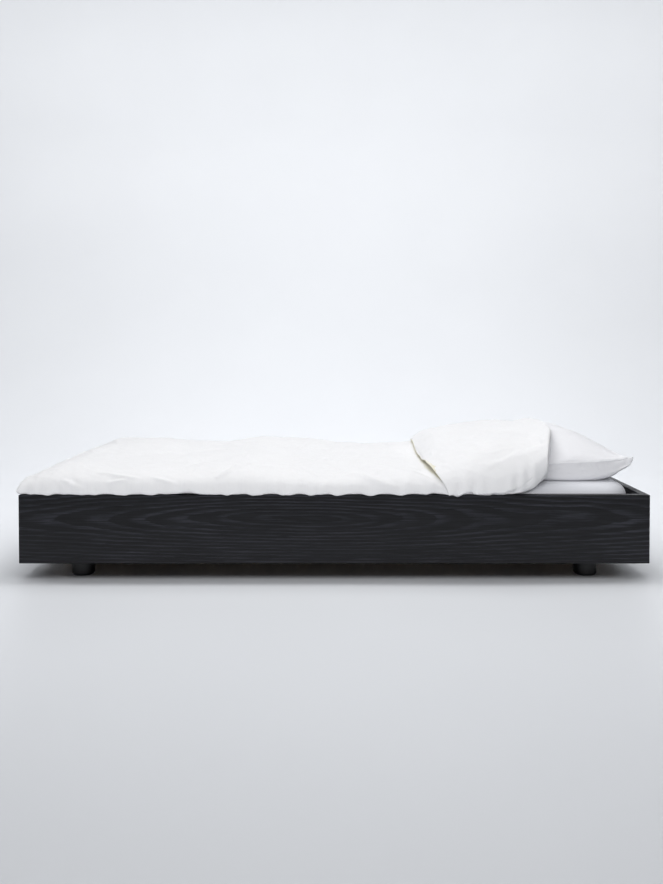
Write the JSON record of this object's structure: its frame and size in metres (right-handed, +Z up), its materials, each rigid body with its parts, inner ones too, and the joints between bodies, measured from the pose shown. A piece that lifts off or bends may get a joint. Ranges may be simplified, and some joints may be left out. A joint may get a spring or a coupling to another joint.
{
  "type": "platform bed",
  "caption": "Low single platform bed: a mitred black-stained box frame on recessed round legs, with slats, mattress, fitted sheet, pillow and turned-back duvet.",
  "frame": {"origin": "on the floor under the middle of the bed", "axes": "+X along the bed towards the head end, +Y across the bed towards the back side, +Z up"},
  "size_m": [2.06, 0.96, 0.4825],
  "materials": {
    "stained_ash": "black-stained open-grain ash veneer, matte oil",
    "spruce": "planed spruce, unfinished",
    "slat_wood": "planed spruce slats, unfinished",
    "leg_wood": "turned hardwood, black lacquer, satin",
    "felt": "pressed felt",
    "zinc_steel": "bright zinc plate",
    "screw_steel": "yellow zinc plate",
    "insert_brass": "turned brass",
    "beech": "fluted beech dowel",
    "webbing": "woven polyester webbing",
    "mattress_ticking": "knitted ticking",
    "sheet_cotton": "smooth percale cotton",
    "pillow_cotton": "percale cotton",
    "duvet_cotton": "washed cotton, lightly crinkled"
  },
  "bodies": {
    "frame": {"side_rail_front": "stained_ash", "side_rail_back": "stained_ash", "end_rail_foot": "stained_ash", "end_rail_head": "stained_ash", "ledger_front": "spruce", "ledger_back": "spruce", "bearer_foot": "spruce", "bearer_head": "spruce", "corner_bracket_front_foot": "zinc_steel", "corner_bracket_front_head": "zinc_steel", "corner_bracket_back_foot": "zinc_steel", "corner_bracket_back_head": "zinc_steel", "leg_front_foot": "leg_wood", "leg_front_head": "leg_wood", "leg_back_foot": "leg_wood", "leg_back_head": "leg_wood", "felt_glide_front_foot": "felt", "felt_glide_front_head": "felt", "felt_glide_back_foot": "felt", "felt_glide_back_head": "felt", "bracket_screws": "zinc_steel", "threaded_inserts": "insert_brass", "mitre_dowels": "beech", "ledger_screws": "screw_steel", "bearer_screws": "screw_steel", "leg_studs": "zinc_steel", "tee_nuts": "zinc_steel", "slat_pegs": "beech"},
    "slat_base": {"slat_01": "slat_wood", "slat_02": "slat_wood", "slat_03": "slat_wood", "slat_04": "slat_wood", "slat_05": "slat_wood", "slat_06": "slat_wood", "slat_07": "slat_wood", "slat_08": "slat_wood", "slat_09": "slat_wood", "slat_10": "slat_wood", "slat_11": "slat_wood", "slat_12": "slat_wood", "slat_13": "slat_wood", "slat_14": "slat_wood", "webbing_front": "webbing", "webbing_back": "webbing", "webbing_tacks": "screw_steel"},
    "mattress": {"mattress": "mattress_ticking", "fitted_sheet": "sheet_cotton"},
    "pillow": {"pillow": "pillow_cotton"},
    "duvet": {"duvet": "duvet_cotton"}
  },
  "joints": [
    {"name": "slat_base_lift", "type": "slide", "parent": "frame", "child": "slat_base", "axis": [0, 0, 1], "range_m": [0, 0.3]},
    {"name": "mattress_lift", "type": "slide", "parent": "slat_base", "child": "mattress", "axis": [0, 0, 1], "range_m": [0, 0.4]},
    {"name": "duvet_lift", "type": "slide", "parent": "mattress", "child": "duvet", "axis": [0, 0, 1], "range_m": [0, 0.3]},
    {"name": "pillow_pull", "type": "slide", "parent": "mattress", "child": "pillow", "axis": [1, 0, 0], "range_m": [0, 0.45]}
  ]
}
